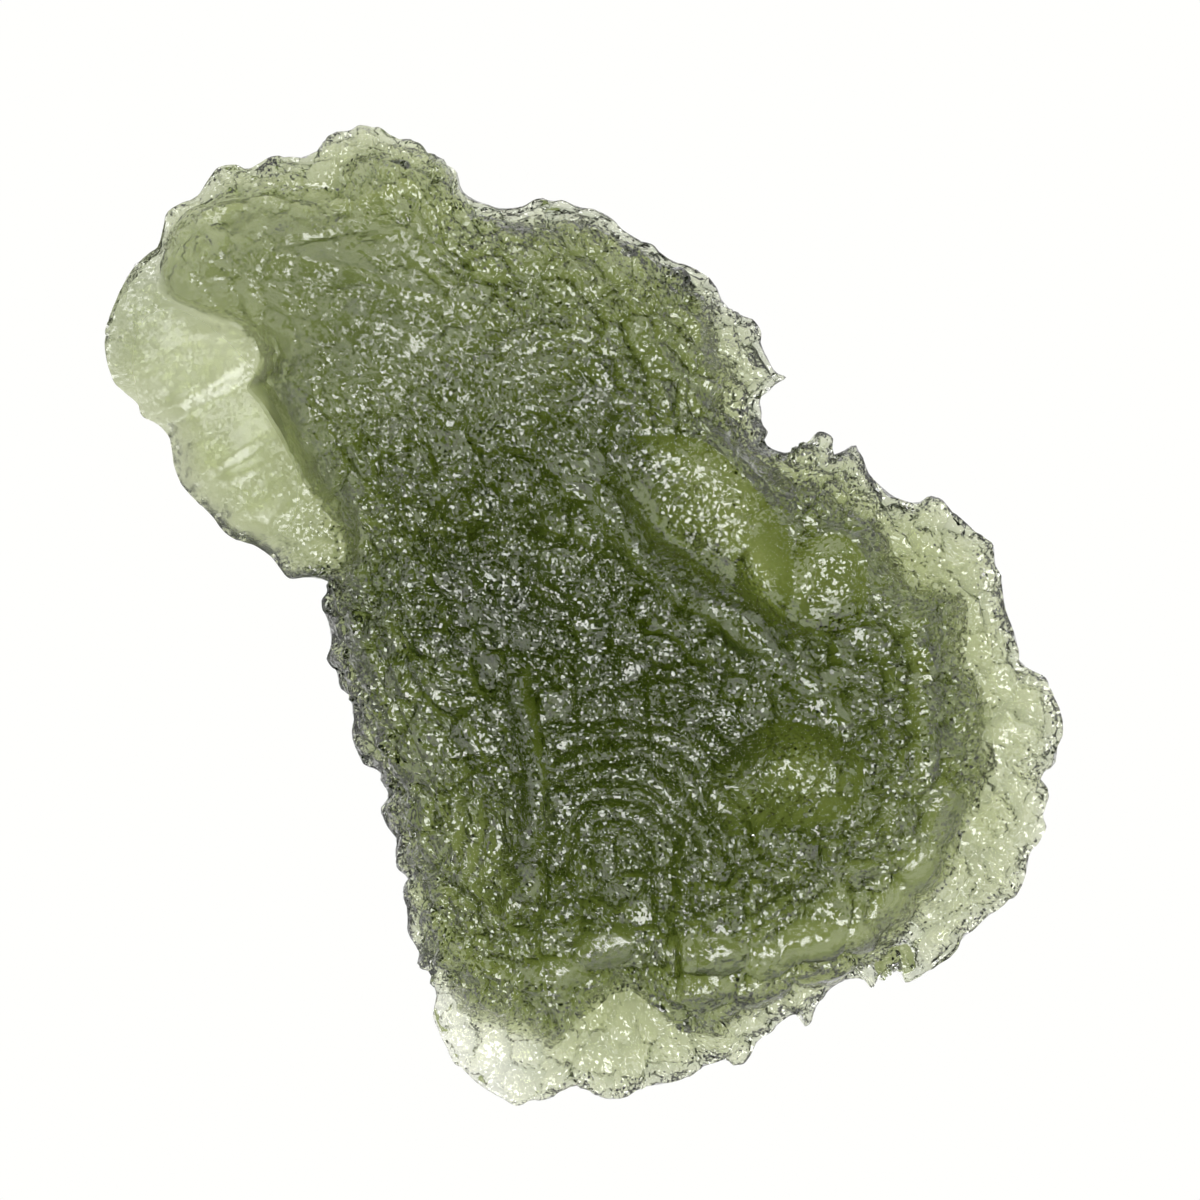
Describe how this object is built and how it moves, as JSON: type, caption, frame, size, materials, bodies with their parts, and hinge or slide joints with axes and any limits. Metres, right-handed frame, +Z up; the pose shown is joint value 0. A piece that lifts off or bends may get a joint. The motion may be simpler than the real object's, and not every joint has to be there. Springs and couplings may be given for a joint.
{
  "type": "moldavite",
  "caption": "Flat, etched piece of green natural glass with a thick domed body, thin pale lips standing out behind steep ledges, bowl-shaped scoops and a small flat spot to lie on.",
  "frame": {"origin": "on the floor below the middle of the stone's box", "axes": "+X along the long axis towards the wide end with the thin east and south lips, +Z up out of the domed, etched side"},
  "size_m": [0.027, 0.0186, 0.0063],
  "materials": {
    "moldavite_glass": "etched, see-through olive green, glinting"
  },
  "bodies": {
    "root": {"moldavite": "moldavite_glass"}
  },
  "joints": []
}
